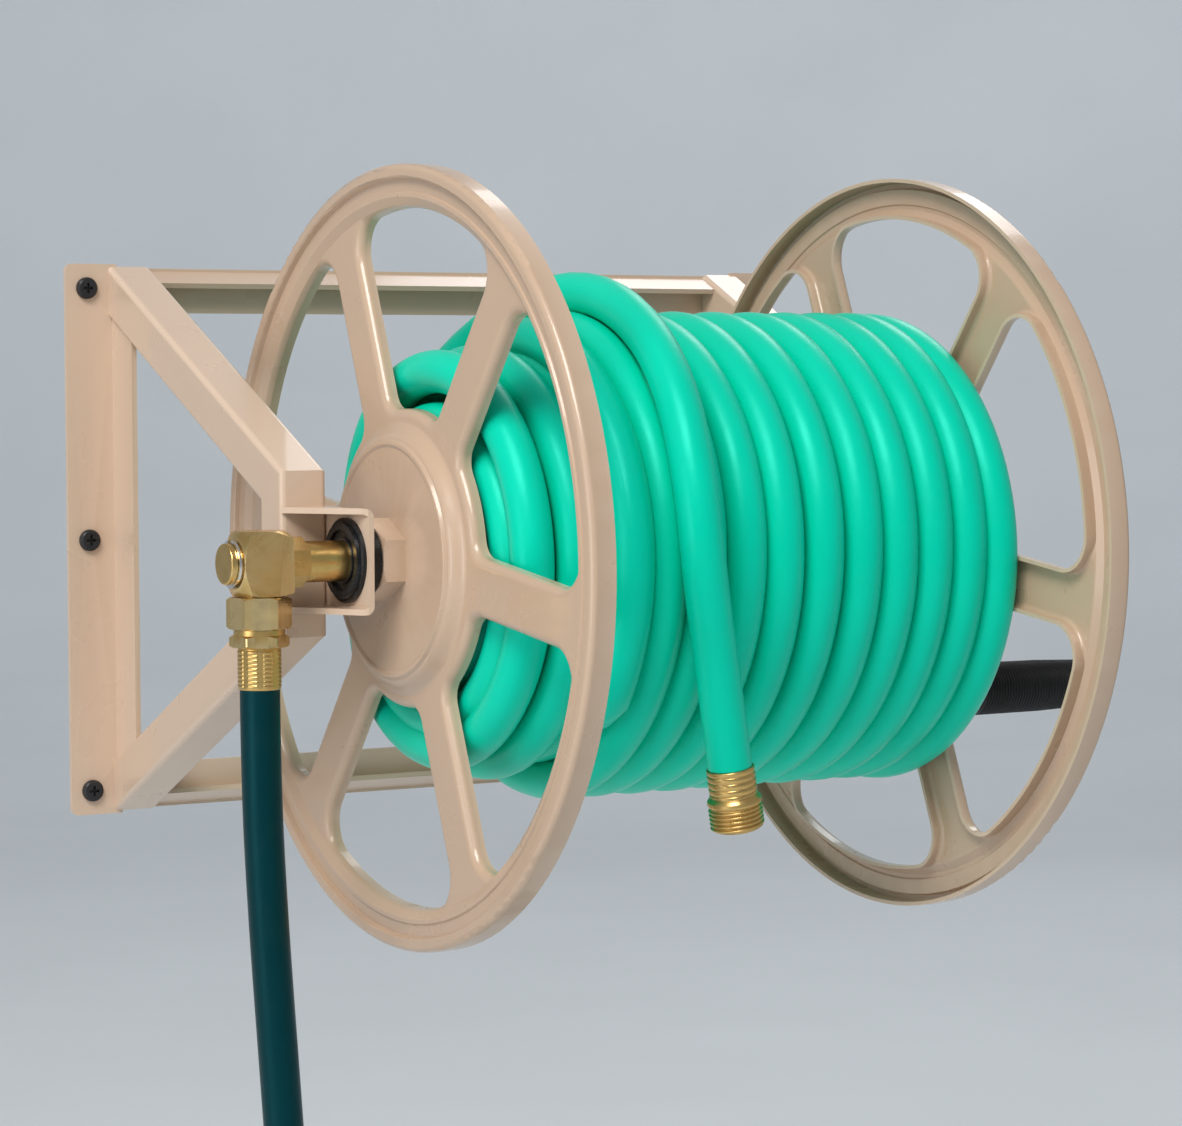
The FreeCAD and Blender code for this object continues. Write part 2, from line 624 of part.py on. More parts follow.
def outlet_elbow():
    """Brass pipe from the stem's inner end up to the garden hose's inner coupling."""
    x, z = outlet_x(), outlet_height()
    block = rod_x(STEM_R + 2, -LOCK_NUT_END + 10, x + 12)
    block = block.fuse(Part.makeCylinder(9.0, z - AXLE_Z, V(x, AXLE_Y, AXLE_Z)))
    block = block.fuse(Part.makeSphere(9.0, V(x, AXLE_Y, z)))
    block = block.fuse(Part.makeCylinder(9.0, COUPLING_BACK, V(x, AXLE_Y, z), V(0, -1, 0)))
    block = block.cut(rod_x(WATER_BORE, -LOCK_NUT_END, x))
    block = block.cut(Part.makeCylinder(WATER_BORE, z - AXLE_Z, V(x, AXLE_Y, AXLE_Z)))
    return block.cut(Part.makeCylinder(WATER_BORE, 20, V(x, AXLE_Y, z), V(0, -1, 0)))


def inner_coupling():
    """Female coupling that joins the garden hose to the outlet elbow."""
    start = V(outlet_x(), AXLE_Y - COUPLING_BACK, outlet_height())
    length = COUPLING_MOUTH - COUPLING_BACK
    coupling = Part.makeCylinder(13.5, length, start, V(0, -1, 0))
    return coupling.cut(Part.makeCylinder(WATER_BORE, length + 1, start, V(0, -1, 0)))


def hose_inner_end():
    """Straight start of the garden hose, from the coupling to the coil's inside."""
    return hose_passage(HOSE_R).common(rod_x(COIL_INNER_R, -COIL_END, 0))


# ---- right axle ----
def axle_stub():
    """Steel stub in the right hub: groove for its ring, thread for the crank."""
    stub = rod_x(STEM_R, LOCK_NUT_END - 10, CRANK_START)
    stub = stub.fuse(rod_x(AXLE_THREAD_R, CRANK_START, CRANK_START + 15))
    stub = stub.makeChamfer(1.0, [e for e in stub.Edges if lies_at(e, "x", CRANK_START + 15)])
    return stub.cut(ring_x(STEM_R + 2, STEM_R - 1.2, 189.0, 190.4))


def axle_washer():
    return ring_x(16.0, STEM_R, WEB_OUTER + BUSH_FLANGE + 0.3, 188.6)


def axle_ring():
    """Open spring ring that keeps the stub from sliding inwards."""
    ring = ring_x(STEM_R + 2.4, STEM_R - 1.2, 189.1, 190.3)
    return ring.cut(box(188, 192, AXLE_Y - 2, AXLE_Y + 2, AXLE_Z, AXLE_Z + 20))


# ---- hoses ----
def cord_tube(name, route, radius):
    """A round tube along straight runs joined by arcs; prints each arc's radius."""
    edges = []
    start = route[0]
    radii = []
    for index in range(1, len(route) - 1):
        before, corner, after = route[index - 1], route[index], route[index + 1]
        back = (before - corner).normalize()
        ahead = (after - corner).normalize()
        turn = math.pi - back.getAngle(ahead)
        shorter = min((before - corner).Length, (after - corner).Length)
        cut_back = 0.45 * shorter
        bend = cut_back / math.tan(turn / 2)
        radii.append(round(bend))
        enter = corner + back * cut_back
        leave = corner + ahead * cut_back
        bisector = (back + ahead).normalize()
        depth = math.hypot(bend, cut_back) - bend
        edges.append(Part.LineSegment(start, enter).toShape())
        edges.append(Part.Arc(enter, corner + bisector * depth, leave).toShape())
        start = leave
    edges.append(Part.LineSegment(start, route[-1]).toShape())
    path = Part.Wire(edges)
    section = Part.Wire(Part.makeCircle(radius, route[0], route[1] - route[0]))
    tube = path.makePipeShell([section], True, False)
    expected = math.pi * radius ** 2 * path.Length
    print(name, "length %.0f" % path.Length, "volume ratio %.4f" % (tube.Volume / expected),
          "arc radii", radii)
    return tube


def garden_coil():
    """The wound hose as one closed solid, stepped on the left where its layers end."""
    outline = [(COIL_INNER_R, COIL_END), (COIL_INNER_R, LAYER_ENDS[0][1])]
    for index, (radius, start) in enumerate(LAYER_ENDS):
        if index > 0:
            outline.append((LAYER_ENDS[index - 1][0], start))
        outline.append((radius, start))
    outline.append((COIL_OUTER_R, COIL_END))
    return lathe_x(outline)


def hose_end_direction():
    return (HOSE_END_ROUTE[-1] - HOSE_END_ROUTE[-2]).normalize()


def hose_end_piece(outer, start_z, end_z, bore=0.0):
    """A round piece on the hose's free end, between two heights along its line."""
    direction = hose_end_direction()
    first = HOSE_END_ROUTE[-1] + direction * (HOSE_END_Z - start_z)
    piece = Part.makeCylinder(outer, start_z - end_z, first, direction)
    if bore:
        piece = piece.cut(Part.makeCylinder(bore, start_z - end_z + 2, first - direction, direction))
    return piece


def hose_coupling():
    """Male coupling: a collar and the threaded end as its outside cylinder."""
    collar = hose_end_piece(12.2, HOSE_FERRULE_Z, HOSE_FERRULE_Z - 2.5, WATER_BORE)
    thread = hose_end_piece(COUPLING_R, HOSE_FERRULE_Z - 2.5, HOSE_COUPLING_Z, WATER_BORE)
    return collar.fuse(thread)


def leader_coil():
    """The leader's tied coil: two turns side by side as one closed ring."""
    reach = LEADER_TURN_STEP / 2 + LEADER_R
    low, high = AXLE_Y - reach, AXLE_Y + reach
    centre = V(LEADER_COIL_X, low, LEADER_COIL_Z)
    outer = Part.makeCylinder(LEADER_COIL_R + LEADER_R, high - low, centre, V(0, 1, 0))
    ring = outer.cut(Part.makeCylinder(LEADER_COIL_R - LEADER_R, high - low, centre, V(0, 1, 0)))
    return ring.makeFillet(6.0, [e for e in ring.Edges if len(e.Vertexes) == 1])


def coil_tie():
    """Tie around both turns at the coil's lowest point."""
    half_width, wall = 6.0, 1.5
    reach = LEADER_TURN_STEP / 2 + LEADER_R
    low_y, high_y = AXLE_Y - reach, AXLE_Y + reach
    low_z = LEADER_COIL_Z - LEADER_COIL_R - LEADER_R
    high_z = LEADER_COIL_Z - LEADER_COIL_R + LEADER_R
    x0, x1 = LEADER_COIL_X - half_width, LEADER_COIL_X + half_width
    loop = box(x0, x1, low_y - wall, high_y + wall, low_z - wall, high_z + wall)
    loop = rounded(loop, 4.0, lambda edge: runs_along(edge, "x"))
    inside = box(x0 - 1, x1 + 1, low_y, high_y, low_z + 1, high_z)
    return loop.cut(inside).cut(leader_coil())


def tail_point(distance):
    """Point on the straight line by which the leader's end leaves its coil."""
    angle = math.radians(TAIL_ANGLE)
    out = V(math.cos(angle), 0, math.sin(angle))
    start = V(LEADER_COIL_X, AXLE_Y + LEADER_TURN_STEP / 2, LEADER_COIL_Z) + out * LEADER_COIL_R
    return start + tail_direction() * distance


def tail_direction():
    angle = math.radians(TAIL_ANGLE)
    return V(-math.sin(angle), 0, math.cos(angle))


def tail_piece(outer, start, end, bore=0.0):
    piece = Part.makeCylinder(outer, end - start, tail_point(start), tail_direction())
    if bore:
        hole = Part.makeCylinder(bore, end - start + 2, tail_point(start - 1), tail_direction())
        piece = piece.cut(hole)
    return piece


def tap_fitting():
    """Collar and nose on the leader's tap end, which hold the coupling nut."""
    start = TAIL_LENGTH + TAIL_FERRULE
    collar = tail_piece(12.7, start, start + 4)
    nose = tail_piece(8.8, start + 4, start + 8)
    lip = tail_piece(11.0, start + 8, start + 10)
    return collar.fuse(nose).fuse(lip).cut(tail_piece(WATER_BORE, start - 1, start + 12))


def tap_nut():
    """Female coupling nut; its bore takes a 3/4 inch garden hose thread."""
    start = TAIL_LENGTH + TAIL_FERRULE + 4.3
    length = 20.0
    nut = hexagon(TAP_NUT_HEX, V(0, 0, 0), "z", length, 0)
    turned = lathe_z([(0, 0), (15.8, 0), (18.0, 1.6), (18.0, length - 1.6),
                      (15.8, length), (0, length)], 0, 0)
    nut = nut.common(turned)
    nut = nut.cut(Part.makeCylinder(9.1, length + 2, V(0, 0, -1)))
    nut = nut.cut(Part.makeCylinder(COUPLING_R + 0.6, 3.0, V(0, 0, 3.4)))
    nut = nut.cut(Part.makeCylinder(COUPLING_R, length, V(0, 0, 6.0)))
    place = FreeCAD.Placement(tail_point(start), FreeCAD.Rotation(V(0, 0, 1), tail_direction()))
    nut.Placement = place
    return nut


def main():
    os.makedirs("parts", exist_ok=True)
    save_pair("wall_plate", wall_plate())
    save_pair("upper_arm", upper_arm())
    lower_arm = upper_arm().mirror(V(0, 0, 0), V(0, 0, 1))
    save_pair("lower_arm", lower_arm)
    save_pair("post", post())
    save_pair("axle_bracket", bracket())
    save_pair("bushing", bushing())
    save_pair("thrust_washer", thrust_washer())
    save("top_bar", cross_bar())
    save("bottom_bar", cross_bar().mirror(V(0, 0, 0), V(0, 0, 1)))
    save("wall_screws", wall_screws())

    save_pair("wheel", wheel())
    save_pair("hub_fitting", hub_fitting())
    save_pair("lock_nut", lock_nut())
    save("drum_tube", drum_tube())
    save("crank_arm", crank_arm())
    save("crank_bolt", crank_bolt())
    save("crank_nut", crank_nut())
    save("crank_grip", crank_grip())

    save("swivel_stem", swivel_stem())
    save("snap_ring", snap_ring())
    save("elbow_body", elbow_body())
    save("swivel_nut", swivel_nut())
    save("leader_tailpiece", tailpiece())
    save("leader_ferrule", ring_z(FERRULE_R, LEADER_R, FERRULE_BOTTOM, FLANGE_BOTTOM))
    save("outlet_elbow", outlet_elbow())
    save("hose_inner_coupling", inner_coupling())
    save("axle_stub", axle_stub())
    save("axle_washer", axle_washer())
    save("axle_ring", axle_ring())

    save("garden_hose_coil", garden_coil())
    save("garden_hose_start", hose_inner_end())
    save("garden_hose_end", cord_tube("garden_hose_end", HOSE_END_ROUTE, HOSE_R))
    save("hose_ferrule", hose_end_piece(11.6, HOSE_END_Z, HOSE_FERRULE_Z, WATER_BORE))
    save("hose_coupling", hose_coupling())
    save("leader_hose", cord_tube("leader_hose", LEADER_ROUTE, LEADER_R))
    save("leader_hose_coil", leader_coil())
    save("leader_hose_tail", tail_piece(LEADER_R, 0, TAIL_LENGTH + TAIL_FERRULE))
    save("coil_tie", coil_tie())
    ferrule_end = TAIL_LENGTH + TAIL_FERRULE
    save("tap_ferrule", tail_piece(FERRULE_R, TAIL_LENGTH, ferrule_end, LEADER_R))
    save("tap_fitting", tap_fitting())
    save("tap_nut", tap_nut())


main()
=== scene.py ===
import json
import math
import random

import bmesh
import bpy
from mathutils import Matrix, Vector


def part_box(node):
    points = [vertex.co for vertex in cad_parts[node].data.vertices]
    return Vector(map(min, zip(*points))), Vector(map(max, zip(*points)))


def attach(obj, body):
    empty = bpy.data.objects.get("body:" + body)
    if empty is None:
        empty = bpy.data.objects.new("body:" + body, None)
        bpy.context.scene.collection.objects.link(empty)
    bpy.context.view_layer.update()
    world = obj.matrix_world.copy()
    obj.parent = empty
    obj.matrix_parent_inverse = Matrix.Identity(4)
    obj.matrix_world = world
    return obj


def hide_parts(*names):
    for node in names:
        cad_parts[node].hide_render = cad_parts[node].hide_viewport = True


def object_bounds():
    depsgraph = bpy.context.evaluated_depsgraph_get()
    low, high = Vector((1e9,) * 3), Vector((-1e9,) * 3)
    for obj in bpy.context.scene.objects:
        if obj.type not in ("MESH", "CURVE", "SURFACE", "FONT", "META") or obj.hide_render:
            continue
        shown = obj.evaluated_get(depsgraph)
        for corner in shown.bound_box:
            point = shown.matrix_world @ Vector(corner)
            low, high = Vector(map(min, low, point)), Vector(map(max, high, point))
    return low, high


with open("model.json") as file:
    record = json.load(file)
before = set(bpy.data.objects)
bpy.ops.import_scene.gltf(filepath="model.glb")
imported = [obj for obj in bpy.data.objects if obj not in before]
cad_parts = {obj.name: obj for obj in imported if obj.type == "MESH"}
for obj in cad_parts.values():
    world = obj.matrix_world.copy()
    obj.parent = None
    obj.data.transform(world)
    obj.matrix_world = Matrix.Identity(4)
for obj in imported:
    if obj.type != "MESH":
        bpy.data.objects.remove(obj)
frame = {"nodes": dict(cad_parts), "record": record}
nodes = frame["nodes"]
cad_low, cad_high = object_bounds()

MM = 0.001
scene = bpy.context.scene


def mm(x, y, z):
    return Vector((x, y, z)) * MM


# ---- places taken from the frame ----
wheel_low, wheel_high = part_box("left_wheel")
AXLE = Vector((0, (wheel_low.y + wheel_high.y) / 2, (wheel_low.z + wheel_high.z) / 2))
grip_low, grip_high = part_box("crank_grip")


# ---- camera: place in mm, angles in radians ----
CAMERA_PLACE = mm(-965.3, -1815.2, 82.6)
CAMERA_YAW = 0.5322
CAMERA_PITCH = 0.04979
CAMERA_ROLL = -0.00525
CAMERA_LENS = 106.95
SENSOR_WIDTH = 36.0
CLIP_END = 50


def make_camera():
    data = bpy.data.cameras.new("camera")
    data.lens = CAMERA_LENS
    data.sensor_width = SENSOR_WIDTH
    data.clip_end = CLIP_END
    camera = bpy.data.objects.new("camera", data)
    scene.collection.objects.link(camera)
    forward = Vector((
        math.sin(CAMERA_YAW) * math.cos(CAMERA_PITCH),
        math.cos(CAMERA_YAW) * math.cos(CAMERA_PITCH),
        -math.sin(CAMERA_PITCH),
    ))
    level = Vector((math.cos(CAMERA_YAW), -math.sin(CAMERA_YAW), 0))
    upright = level.cross(forward)
    right = level * math.cos(CAMERA_ROLL) + upright * math.sin(CAMERA_ROLL)
    up = upright * math.cos(CAMERA_ROLL) - level * math.sin(CAMERA_ROLL)
    turn = Matrix((right, up, -forward)).transposed()
    camera.matrix_world = Matrix.Translation(CAMERA_PLACE) @ turn.to_4x4()
    scene.camera = camera


make_camera()


# ---- mesh and curve helpers ----
def add_mesh(name, bm):
    mesh = bpy.data.meshes.new(name)
    bmesh.ops.recalc_face_normals(bm, faces=bm.faces)
    bm.to_mesh(mesh)
    bm.free()
    mesh.shade_smooth()
    obj = bpy.data.objects.new(name, mesh)
    scene.collection.objects.link(obj)
    return obj


def smooth_step(value):
    value = min(max(value, 0.0), 1.0)
    return value * value * (3 - 2 * value)


def ring_points(bm, start, turn, length, radii):
    """One ring of vertices at a length along a turned piece."""
    row = []
    for step, radius in enumerate(radii):
        angle = 2 * math.pi * step / len(radii)
        place = Vector((radius * math.cos(angle), radius * math.sin(angle), length))
        row.append(bm.verts.new(start + turn @ place))
    return row


def turned_skin(name, start, direction, lengths, radius_at, around, bore):
    """A turned tube: radius_at(length, angle) gives its outside, bore its inside radius."""
    turn = Vector(direction).to_track_quat("Z", "Y").to_matrix()
    bm = bmesh.new()
    rings = [
        ring_points(bm, start, turn, lengths[-1], [bore] * around),
        ring_points(bm, start, turn, lengths[0], [bore] * around),
    ]
    for length in lengths:
        radii = [radius_at(length, 2 * math.pi * step / around) for step in range(around)]
        rings.append(ring_points(bm, start, turn, length, radii))
    for index, first in enumerate(rings):
        second = rings[(index + 1) % len(rings)]
        for step in range(around):
            after = (step + 1) % around
            bm.faces.new((first[step], first[after], second[after], second[step]))
    return add_mesh(name, bm)


def profile_radius(points, length):
    """Radius at a length, from (length, radius) points in millimetres."""
    value = length / MM
    if value <= points[0][0]:
        return points[0][1] * MM
    for (a, ra), (b, rb) in zip(points, points[1:]):
        if value <= b:
            return (ra + (rb - ra) * (value - a) / (b - a)) * MM
    return points[-1][1] * MM


def steps_between(first, last, step):
    """Lengths in metres from first to last, about step apart; all three are in millimetres."""
    count = round((last - first) / step)
    return [(first + (last - first) * index / count) * MM for index in range(count + 1)]


CORD_ROUNDNESS = 10


def cord_curve(name, points, radius, resolution):
    """An open NURBS cord along its route. Its points carry its radius, so its box is true."""
    data = bpy.data.curves.new(name, "CURVE")
    data.dimensions = "3D"
    data.bevel_depth = 1.0
    data.bevel_resolution = CORD_ROUNDNESS
    data.use_fill_caps = True
    data.resolution_u = resolution
    spline = data.splines.new("NURBS")
    spline.points.add(len(points) - 1)
    for point, place in zip(spline.points, points):
        point.co = (*place, 1)
        point.radius = radius
    spline.order_u = 3
    spline.use_endpoint_u = True
    spline.resolution_u = resolution
    obj = bpy.data.objects.new(name, data)
    scene.collection.objects.link(obj)
    return obj


def control_factor(turn):
    """How far out the control points of a quadratic curve lie for a circle of radius 1."""
    return 1.0 / (0.75 + 0.25 * math.cos(2 * math.pi * turn))


# ---- garden hose: wound on the drum, then over the coil and down ----
HOSE_R = 11 * MM
POINTS_PER_TURN = 24
HOSE_RESOLUTION = 4

# Half the share of a turn over which a turn crosses to the next place, behind the drum.
CROSSING_HALF = 0.17

# Where the winding starts, in turns from the top, and how many of the plan's turns the climb replaces.
WINDING_START = 0.235
WINDING_LEFT = 1.25 + 140 / 360

# How much further out than their circle the climb's control points lie.
CLIMB_FACTOR = 1.012

# Most that a turn wanders along the axle, in mm.
WANDER = 0.45

# Radius of the hose's middle in each layer, in mm.
LAYER_RADII = [57.6, 76.8, 95.9, 114.8]

# Places along the axle of the outer layer's turns, from the crank's side to the inlet's.
OUTER_PLACES = [134.8, 115.2, 93.9, 72.1, 50, 26.5, 2.5, -20, -43.5, -65.5, -86]

# Where one more turn would lie; the last turn heads for it before it climbs.
NEXT_PLACE = -142

# The last turn's way up behind the coil: degrees from the top, radius, place along the axle.
CLIMB = [
    (-128, 122.5, -108), (-112, 123, -106), (-96, 124.5, -101), (-80, 127, -95), (-63, 131, -86),
]

# From the drum's outlet to the first turn.
HOSE_START = [mm(-122, -263, 23.3), mm(-123, -285, 23.3), mm(-125, -298, 17)]

# Over the coil and down in front of it.
HOSE_END_ROUTE = [
    mm(-74, -152, 96), mm(-57, -203, 127), mm(-48, -256, 134), mm(-51.5, -314, 116),
    mm(-57.5, -358, 82), mm(-61, -381, 34), mm(-57.5, -383, -14), mm(-47, -378, -60),
    mm(-38.5, -374.5, -103),
]


def evenly(first, last, count):
    """Places from first to last, the same distance apart."""
    return [first + (last - first) * index / (count - 1) for index in range(count)]


def winding_plan():
    """Each turn: place along the axle, radius and sag in mm, and whether it advances evenly."""
    turns = [(x, LAYER_RADII[0], 0, 0) for x in evenly(-129, 129, 10)]
    turns += [(x, LAYER_RADII[1], 0, 0) for x in evenly(129, -100, 9)]
    turns.append((-129.5, 75.0, 7.5, 0))
    turns.append((-130.0, 95.6, 1.5, 0))
    turns.append((-107.0, 100.0, 3.0, 0))
    turns += [(x, LAYER_RADII[2], 0, 0) for x in evenly(-82, 119, 10)]
    turns.append((OUTER_PLACES[0], 115.2, 1.5, 0.5))
    turns += [(x, LAYER_RADII[3], 0.6, 1) for x in OUTER_PLACES[1:-1]]
    turns.append((OUTER_PLACES[-1], 117.5, 7.0, 1))
    turns.append((NEXT_PLACE, 117.5, 7.0, 1))
    return turns


def around_axle(x, radius, turn):
    """A point at a radius in mm from the axle; turn 0 is on top, 0.25 in front."""
    angle = 2 * math.pi * turn
    return AXLE + mm(x, -radius * math.sin(angle), radius * math.cos(angle))


def wound_point(plan, turn, wobble):
    """A control point of the winding; a turn passes to the next one behind the drum or evenly."""
    position = turn + 0.25
    index = int(math.floor(position + 0.5))
    blend = smooth_step((position - index + CROSSING_HALF) / (2 * CROSSING_HALF))
    before = plan[min(max(index - 1, 0), len(plan) - 1)]
    after = plan[min(max(index, 0), len(plan) - 1)]
    x, radius, sag, even = [a + (b - a) * blend for a, b in zip(before, after)]
    steady = before[0] + (after[0] - before[0]) * (position - index + 0.5)
    x += (steady - x) * even
    angle = 2 * math.pi * turn
    drift = wobble[index % len(wobble)] * math.sin(angle + index)
    radius = radius - sag * math.cos(angle)
    return around_axle(x + drift, radius * control_factor(1 / POINTS_PER_TURN), turn)


def garden_hose():
    generator = random.Random(11)
    wobble = [generator.uniform(-WANDER, WANDER) for _ in range(13)]
    plan = winding_plan()
    points = list(HOSE_START)
    turns = len(plan) - WINDING_LEFT - WINDING_START
    steps = round(turns * POINTS_PER_TURN)
    for step in range(steps + 1):
        points.append(wound_point(plan, WINDING_START + turns * step / steps, wobble))
    for degrees, radius, x in CLIMB:
        points.append(around_axle(x, radius * CLIMB_FACTOR, degrees / 360))
    made = cord_curve("garden_hose", points + HOSE_END_ROUTE, HOSE_R, HOSE_RESOLUTION)
    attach(made, "reel")
    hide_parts("garden_hose_coil", "garden_hose_start", "garden_hose_end")
    return made


hose = garden_hose()


# ---- the garden hose's end: ribbed ferrule and threaded coupling ----
END_DIRECTION = (HOSE_END_ROUTE[-1] - HOSE_END_ROUTE[-2]).normalized()
THREAD_PITCH = 2.209
FERRULE_LENGTH = 13.4
FERRULE_BORE = 11.02 * MM
RIB_PITCH = 3.2
THREAD_START = 5.4
COUPLING_LENGTH = 17.6
COUPLING_BORE = 8.6 * MM

# The collar's outside: (length, radius) in mm.
COLLAR = [
    (0, 11.5), (0.5, 11.5), (1.2, 12.3), (2.6, 13.4), (4.0, 13.6), (4.9, 13.35),
    (THREAD_START, 12.5),
]


def end_ferrule_radius(length, angle):
    """Rounded ribs along the ferrule."""
    value = length / MM
    rib = abs(math.sin(math.pi * value / RIB_PITCH + 0.5)) ** 0.5
    rounding = 0.25 * (1 - smooth_step(value / 0.35))
    return (11.4 + 0.6 * rib - rounding) * MM


def end_ferrule():
    """Ferrule with four rounded ribs, crimped on the hose."""
    piece = turned_skin(
        "end_ferrule", HOSE_END_ROUTE[-1], END_DIRECTION, steps_between(0, FERRULE_LENGTH, 0.14),
        end_ferrule_radius, 96, FERRULE_BORE,
    )
    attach(piece, "reel")
    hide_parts("hose_ferrule")
    return piece


def end_coupling_radius(length, angle):
    """Bulging collar, then a helical thread that fades at both ends."""
    value = length / MM
    if value < THREAD_START:
        return profile_radius(COLLAR, length)
    phase = (value / THREAD_PITCH - angle / (2 * math.pi)) % 1.0
    height = smooth_step(1.25 - abs(phase - 0.5) * 2.6)
    fade = smooth_step(value - THREAD_START) * smooth_step((COUPLING_LENGTH - 0.3 - value) / 0.8)
    chamfer = max(0.0, value - COUPLING_LENGTH + 0.6) * 0.9
    return (12.45 + height * fade - chamfer) * MM


def end_coupling():
    start = HOSE_END_ROUTE[-1] + END_DIRECTION * (FERRULE_LENGTH + 0.1) * MM
    piece = turned_skin(
        "end_coupling", start, END_DIRECTION, steps_between(0, COUPLING_LENGTH, 0.16),
        end_coupling_radius, 128, COUPLING_BORE,
    )
    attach(piece, "reel")
    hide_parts("hose_coupling")
    return piece


ferrule = end_ferrule()
coupling = end_coupling()


# ---- leader hose: from the elbow down to a tied coil below the view ----
LEADER_R = 10 * MM
LEADER_RESOLUTION = 8
LEADER_COIL = mm(-100, -245, -441)
LEADER_COIL_R = 117 * MM
LEADER_STEP = 20.6 * MM
LEADER_TURNS = 490 / 360
LEADER_POINTS = 24
TAIL_ANGLE = math.radians(-50)
TAIL_SIDE = Vector((math.cos(TAIL_ANGLE), 0, math.sin(TAIL_ANGLE)))
TAIL = Vector((-math.sin(TAIL_ANGLE), 0, math.cos(TAIL_ANGLE)))
TAIL_FROM = LEADER_COIL + TAIL_SIDE * LEADER_COIL_R + Vector((0, LEADER_STEP / 2, 0))
TAIL_FERRULE_AT = 75 * MM
TAIL_HOSE_END = 96 * MM

LEADER_ROUTE = [
    mm(-230.5, -245, -44), mm(-230.5, -245, -108), mm(-227.6, -245.5, -176),
    mm(-223.2, -247.5, -252), mm(-219.4, -252, -336), mm(-217, -255.3, -410),
]


def leader_turns():
    """Turns of the tied coil, then the straight tail up to the ferrule."""
    points = []
    steps = round(LEADER_TURNS * LEADER_POINTS)
    radius = LEADER_COIL_R * control_factor(LEADER_TURNS / steps)
    for step in range(1, steps):
        share = step / steps
        angle = math.pi + 2 * math.pi * LEADER_TURNS * share
        depth = LEADER_STEP * (share - 0.5)
        out = Vector((radius * math.cos(angle), depth, radius * math.sin(angle)))
        points.append(LEADER_COIL + out)
    points.append(TAIL_FROM + TAIL * 8 * MM)
    points.append(TAIL_FROM + TAIL * 50 * MM)
    points.append(TAIL_FROM + TAIL * TAIL_HOSE_END)
    return points


def leader_hose():
    points = LEADER_ROUTE + leader_turns()
    made = cord_curve("leader_hose_line", points, LEADER_R, LEADER_RESOLUTION)
    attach(made, "inlet")
    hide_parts("leader_hose", "leader_hose_coil", "leader_hose_tail")
    return made


leader = leader_hose()


# ---- crimped ferrules at both ends of the leader hose ----
CRIMP_LENGTH = 20.9
CRIMP_BORE = 10.02 * MM


def crimped_radius(length, angle):
    """Rows of short ribs between smooth bands, with rounded ends."""
    value = length / MM
    row = abs(math.sin(math.pi * (value - 1.2) / 2.1)) ** 0.5
    panel = smooth_step((math.cos(8 * angle) + 0.62) * 3.0)
    inside = smooth_step((value - 1.0) / 0.5) * smooth_step((CRIMP_LENGTH - 1.1 - value) / 0.5)
    rounding = 0.3 * (1 - smooth_step(value / 0.6))
    rounding += 0.4 * (1 - smooth_step((CRIMP_LENGTH - value) / 0.8))
    return (10.5 + 0.42 * row * panel * inside - rounding) * MM


def crimped_ferrule(name, start, direction, node):
    piece = turned_skin(
        name, start, direction, steps_between(0.05, CRIMP_LENGTH, 0.15),
        crimped_radius, 160, CRIMP_BORE,
    )
    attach(piece, "inlet")
    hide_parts(node)
    return piece


top_ferrule = crimped_ferrule(
    "top_ferrule", LEADER_ROUTE[0], Vector((0, 0, -1)), "leader_ferrule",
)
low_ferrule = crimped_ferrule(
    "low_ferrule", TAIL_FROM + TAIL * TAIL_FERRULE_AT, TAIL, "tap_ferrule",
)


# ---- grip: fine rings along a slight taper ----
GRIP_LENGTH = (grip_high.x - grip_low.x) / MM
GRIP_BORE = 7.65 * MM
RING_PITCH = 1.95

# The grip's outside without its rings: (length, radius) in mm.
GRIP_BODY = [
    (0, 13.6), (1.2, 14.6), (4, 14.8), (50, 14.6), (GRIP_LENGTH - 7, 13.4),
    (GRIP_LENGTH - 3, 13.0), (GRIP_LENGTH - 1, 11.8), (GRIP_LENGTH, 10.6),
]


def grip_radius(length, angle):
    """The tapered body with rings cut into it, plain at both ends."""
    value = length / MM
    ribs = smooth_step((value - 4) / 1.5) * smooth_step((GRIP_LENGTH - 8 - value) / 1.5)
    wave = abs(math.sin(math.pi * value / RING_PITCH)) ** 0.7
    return profile_radius(GRIP_BODY, length) - 0.9 * (1 - wave) * ribs * MM


def ribbed_grip():
    centre = Vector((grip_low.x, (grip_low.y + grip_high.y) / 2, (grip_low.z + grip_high.z) / 2))
    piece = turned_skin(
        "ribbed_grip", centre, Vector((1, 0, 0)), steps_between(0, GRIP_LENGTH, 0.16),
        grip_radius, 96, GRIP_BORE,
    )
    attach(piece, "grip")
    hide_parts("crank_grip")
    return piece


grip = ribbed_grip()


